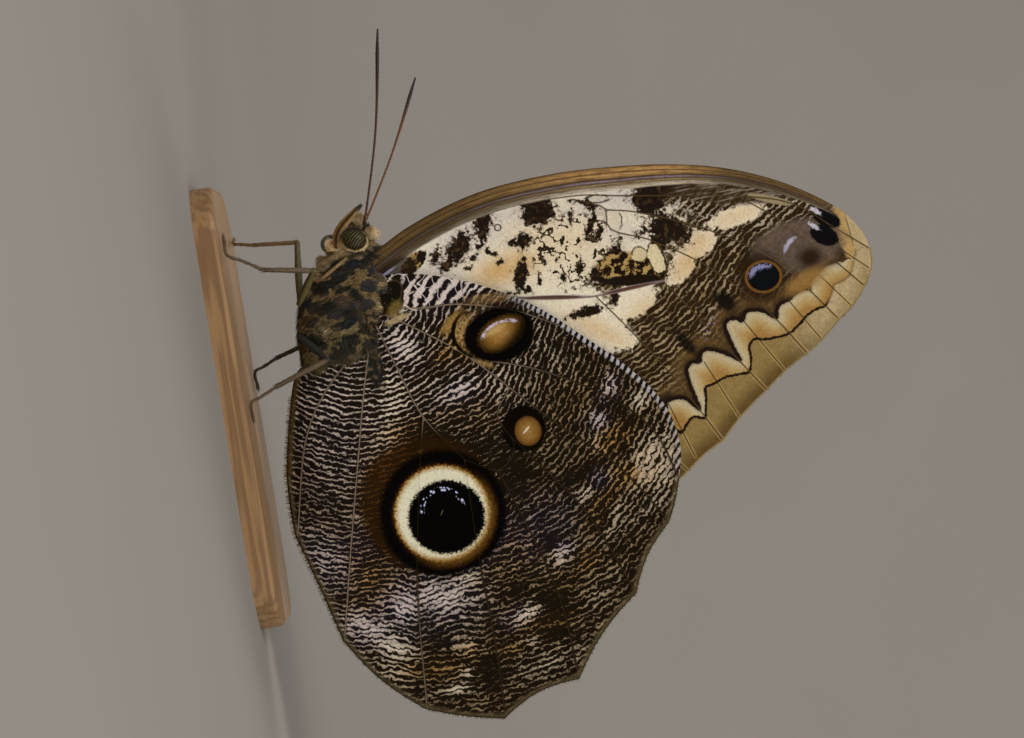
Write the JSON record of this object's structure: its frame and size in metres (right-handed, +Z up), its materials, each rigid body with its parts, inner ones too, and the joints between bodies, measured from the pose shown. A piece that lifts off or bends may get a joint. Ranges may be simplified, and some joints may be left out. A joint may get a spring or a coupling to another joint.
{
  "type": "owl butterfly",
  "caption": "Life-size owl butterfly model standing with its wings closed, large eyespots on the hindwings, on a plain flat base.",
  "frame": {"origin": "centre of the flat underside of the base", "axes": "+Z up; -X towards the head and +X towards the tail; the butterfly's left side faces -Y"},
  "size_m": [0.0952, 0.034, 0.0899],
  "materials": {
    "base_wood": "smooth pale wood with a satin varnish",
    "body_hair": "short rusty-brown and dark hair",
    "eye_surface": "smooth glossy dark olive with fine curved stripes",
    "antenna_shell": "fine-ringed reddish-brown shell, satin",
    "leg_shell": "olive-tan scaled shell, matt",
    "forewing_scales": "matt powdery scales, cream marbled with brown",
    "hindwing_scales": "matt powdery scales, dark brown with fine pale wavy lines and eyespots",
    "inner_wing_scales": "matt powdery scales, brown with a dull blue sheen, on the sides that face each other"
  },
  "bodies": {
    "root": {"stand_base": "base_wood", "thorax": "body_hair", "abdomen": "body_hair", "head": "body_hair", "eye_left": "eye_surface", "eye_right": "eye_surface", "antenna_left": "antenna_shell", "antenna_right": "antenna_shell", "palp_left": "body_hair", "palp_right": "body_hair", "proboscis": "antenna_shell", "foreleg_left": "leg_shell", "foreleg_right": "leg_shell", "midleg_left_femur": "leg_shell", "midleg_left_tibia": "leg_shell", "midleg_left_tarsus": "leg_shell", "midleg_right_femur": "leg_shell", "midleg_right_tibia": "leg_shell", "midleg_right_tarsus": "leg_shell", "hindleg_left_femur": "leg_shell", "hindleg_left_tibia": "leg_shell", "hindleg_left_tarsus": "leg_shell", "hindleg_right_femur": "leg_shell", "hindleg_right_tibia": "leg_shell", "hindleg_right_tarsus": "leg_shell", "forewing_left": "forewing_scales", "forewing_right": "forewing_scales", "hindwing_left": "hindwing_scales", "hindwing_right": "hindwing_scales"}
  },
  "joints": []
}
